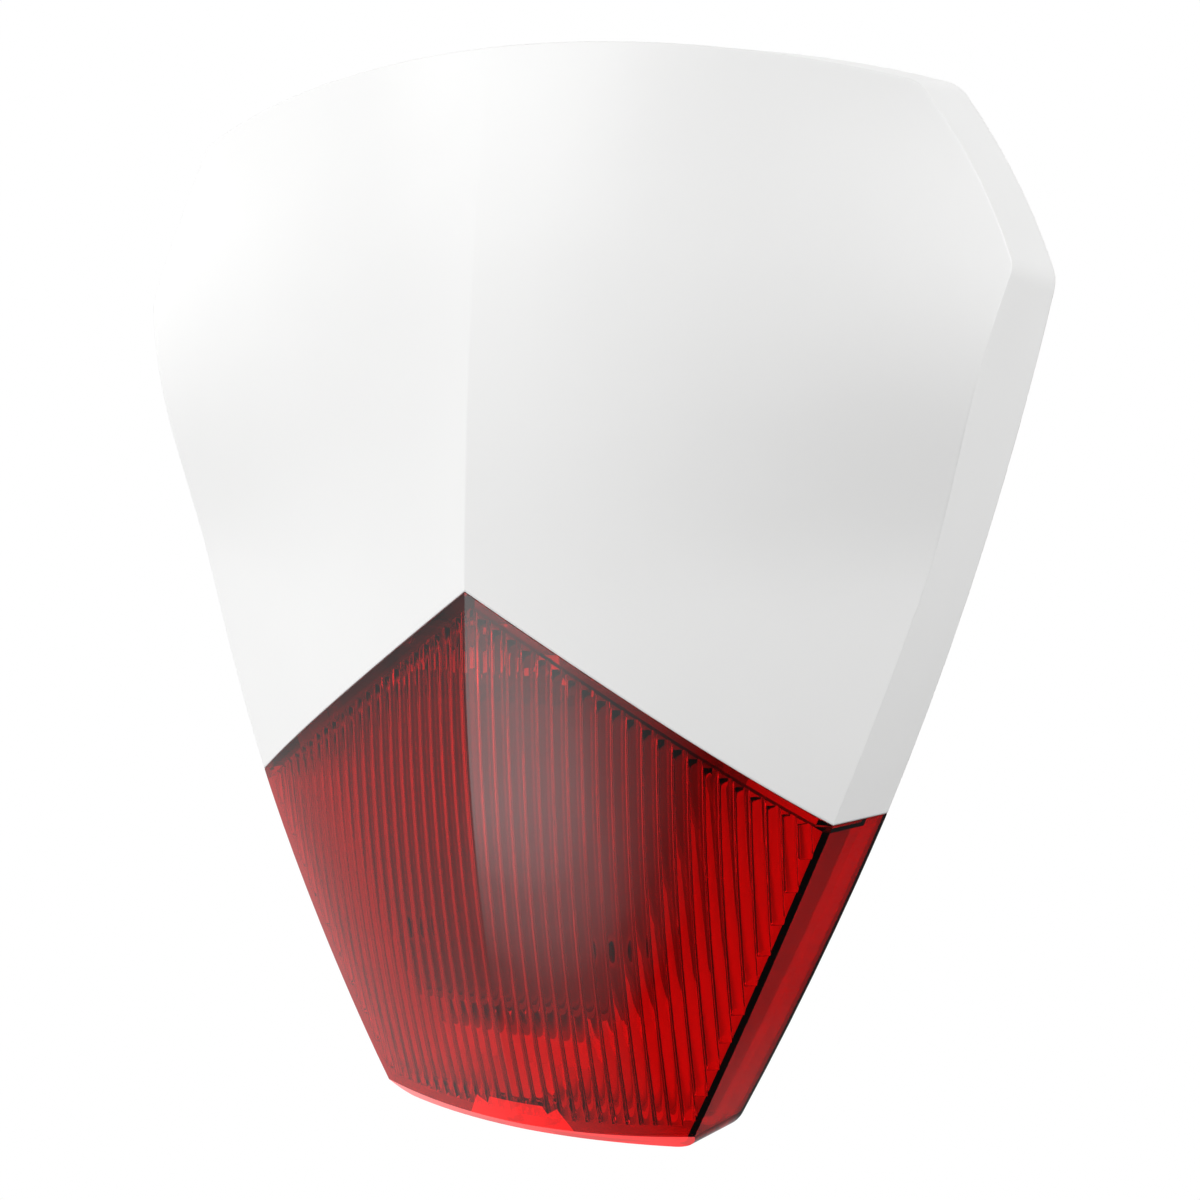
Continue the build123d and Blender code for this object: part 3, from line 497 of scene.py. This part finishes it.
def flutes():
    """All flutes as one mesh, at equal pitch on both sides of the ridge."""
    skin = Skin()
    bm = bmesh.new()
    half_count = int(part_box("lens")[1].x / FLUTE_PITCH) + 1
    for index in range(-half_count, half_count + 1):
        x = index * FLUTE_PITCH or OFF_RIDGE
        span = rib_span(skin, x)
        if span is not None:
            add_rib(bm, skin, x, *span)
    bmesh.ops.recalc_face_normals(bm, faces=bm.faces)
    mesh = bpy.data.meshes.new("flutes")
    bm.to_mesh(mesh)
    bm.free()
    piece = bpy.data.objects.new("flutes", mesh)
    bpy.context.scene.collection.objects.link(piece)
    return piece


def corner_normals(piece, source):
    """Give faces that lie on the CAD surface the CAD's own smooth normals; ribs keep theirs."""
    cad = NODES[source].data
    tree = tree_of(source)
    starts = [polygon.loop_start for polygon in cad.polygons]
    cad_normals = [item.vector.copy() for item in cad.corner_normals]
    mesh = piece.data
    own = [item.vector.copy() for item in mesh.corner_normals]
    for polygon in mesh.polygons:
        spot, facing, index, gap = tree.find_nearest(polygon.center)
        if gap > SAME_SURFACE_REACH or facing.dot(polygon.normal) < SAME_FACE_TURN:
            continue
        for loop in polygon.loop_indices:
            corner = mesh.vertices[mesh.loops[loop].vertex_index].co
            inward = corner.lerp(polygon.center, CORNER_INSET)
            spot, facing, index, gap = tree.find_nearest(inward)
            if gap > SAME_SURFACE_REACH or facing.dot(polygon.normal) < SAME_CORNER_TURN:
                continue
            face = cad.polygons[index]
            points = [cad.vertices[v].co for v in face.vertices]
            weights = poly_3d_calc(points, spot)
            blend = Vector((0, 0, 0))
            for step, weight in enumerate(weights):
                blend += cad_normals[starts[index] + step] * weight
            own[loop] = blend.normalized()
    mesh.normals_split_custom_set(own)


def fluted_lens():
    """The CAD lens with its flutes joined on, in place of the plain CAD lens."""
    lens = welded_copy("fluted_lens", "lens")
    ribs = flutes()
    join = lens.modifiers.new("flutes", "BOOLEAN")
    join.operation = "UNION"
    join.solver = "EXACT"
    join.object = ribs
    bpy.context.view_layer.update()
    graph = bpy.context.evaluated_depsgraph_get()
    mesh = bpy.data.meshes.new_from_object(lens.evaluated_get(graph))
    lens.modifiers.clear()
    lens.data = mesh
    bpy.data.objects.remove(ribs)
    lens.data.materials.clear()
    lens.data.materials.append(MATERIALS["lens_red"])
    for polygon in lens.data.polygons:
        polygon.use_smooth = True
    lens.data.set_sharp_from_angle(angle=SHARP_ANGLE)
    corner_normals(lens, "lens")
    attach(lens, "cover")
    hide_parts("lens")
    return lens


fluted_lens()


# ---------------------------------------------------------------- stage
def area_light(name, place, target, size, power):
    """A rectangular lamp at place, turned towards target."""
    lamp = bpy.data.lights.new(name, "AREA")
    lamp.shape = "RECTANGLE"
    lamp.size, lamp.size_y = size
    lamp.energy = power
    holder = bpy.data.objects.new(name, lamp)
    bpy.context.scene.collection.objects.link(holder)
    holder.location = place
    holder.rotation_mode = "QUATERNION"
    holder.rotation_quaternion = (Vector(target) - Vector(place)).to_track_quat("-Z", "Y")
    return holder


def only_inside_lens(lamp):
    """Let a lamp light only the red lens and the pieces behind it."""
    group = bpy.data.collections.new("behind_lens")
    for name, node in NODES.items():
        if name not in ("cover_shell", "lens"):
            group.objects.link(node)
    group.objects.link(bpy.data.objects["fluted_lens"])
    lamp.light_linking.receiver_collection = group
    lamp.visible_camera = False
    lamp.visible_glossy = False
    lamp.visible_transmission = False


def from_minus_one(tree, socket):
    """Turn a value from -1 to 1 into one from 0 to 1."""
    return tree.add("ShaderNodeMapRange", Value=socket, From_Min=-1.0).outputs["Result"]


def surround():
    """The world's light: bright from the left, dark towards the ground on the right."""
    world = bpy.data.worlds.new("studio")
    bpy.context.scene.world = world
    world.use_nodes = True
    tree = Tree(world.node_tree)
    direction = tree.nodes.new("ShaderNodeTexCoord").outputs["Generated"]
    axes = tree.axes(direction)
    across = from_minus_one(tree, axes["X"])
    upper = tree.grey_ramp(across, UPPER_STOPS)
    lower = tree.grey_ramp(across, LOWER_STOPS)
    lift = tree.grey_ramp(from_minus_one(tree, axes["Z"]), LIFT_STOPS)
    base = tree.mix_colour("MIX", lift, lower, upper)
    halo = tree.grey_ramp(tree.dot(direction, Vector(GLOW_FROM).normalized()), GLOW_STOPS)
    glow = tree.mix_colour("MULTIPLY", 1.0, halo, tree.grey_ramp(across, GLOW_FADE))
    reflected = tree.nodes["Background"]
    tree.put(reflected, "Color", tree.mix_colour("ADD", 1.0, base, glow))
    tree.put(reflected, "Strength", REFLECTED_STRENGTH)
    fill = tree.add("ShaderNodeBackground", Color=base, Strength=FILL_STRENGTH)
    seen = tree.add("ShaderNodeBackground", Color=grey(1.0))
    path = tree.nodes.new("ShaderNodeLightPath")
    lit = tree.mix_shader(path.outputs["Is Diffuse Ray"], reflected, fill)
    view = tree.mix_shader(path.outputs["Is Camera Ray"], lit, seen)
    tree.put(tree.nodes["World Output"], "Surface", view.outputs[0])


def lamps():
    """Front and side lamps for the whole siren, and one for what is behind the lens."""
    area_light("front", FRONT_PLACE, (0, 0, 0), FRONT_SIZE, FRONT_POWER)
    area_light("side", SIDE_PLACE, SIDE_TARGET, SIDE_SIZE, SIDE_POWER)
    lamp = area_light("lens_lamp", LENS_LAMP_PLACE, LENS_LAMP_TARGET, LENS_LAMP_SIZE, LENS_LAMP_POWER)
    only_inside_lens(lamp)


def floor():
    """White paper for the camera only, so that it throws no light on the object."""
    mesh = bpy.data.meshes.new("floor")
    reach = FLOOR_REACH
    level = CAD_LOW.z - FLOOR_DROP
    points = [(-reach, -reach, level), (reach, -reach, level), (reach, reach, level), (-reach, reach, level)]
    mesh.from_pydata(points, [], [(0, 1, 2, 3)])
    piece = bpy.data.objects.new("floor", mesh)
    bpy.context.scene.collection.objects.link(piece)
    g = Finish("floor_paper")
    paper = g.add("ShaderNodeEmission", Color=grey(1.0), Strength=1.0)
    clear = g.add("ShaderNodeBsdfTransparent")
    path = g.nodes.new("ShaderNodeLightPath")
    g.surface(g.mix_shader(path.outputs["Is Camera Ray"], clear, paper))
    mesh.materials.append(g.material)


def camera():
    """Three-quarter view from the front right, slightly from above."""
    data = bpy.data.cameras.new("camera")
    data.sensor_width = SENSOR
    data.lens = CAMERA_LENS
    data.clip_start = CLIP_START
    holder = bpy.data.objects.new("camera", data)
    bpy.context.scene.collection.objects.link(holder)
    ahead = Vector((-math.sin(CAMERA_YAW) * math.cos(CAMERA_PITCH),
                    math.cos(CAMERA_YAW) * math.cos(CAMERA_PITCH), math.sin(CAMERA_PITCH)))
    right = Vector((math.cos(CAMERA_YAW), math.sin(CAMERA_YAW), 0))
    up = right.cross(ahead)
    turn = Matrix((right, up, -ahead)).transposed()
    roll = Matrix.Rotation(CAMERA_ROLL, 3, "Z")
    holder.rotation_mode = "QUATERNION"
    holder.rotation_quaternion = (turn @ roll).to_quaternion()
    holder.location = CAMERA_PLACE
    bpy.context.scene.camera = holder


surround()
lamps()
floor()
camera()
bpy.context.scene.view_settings.view_transform = "Standard"
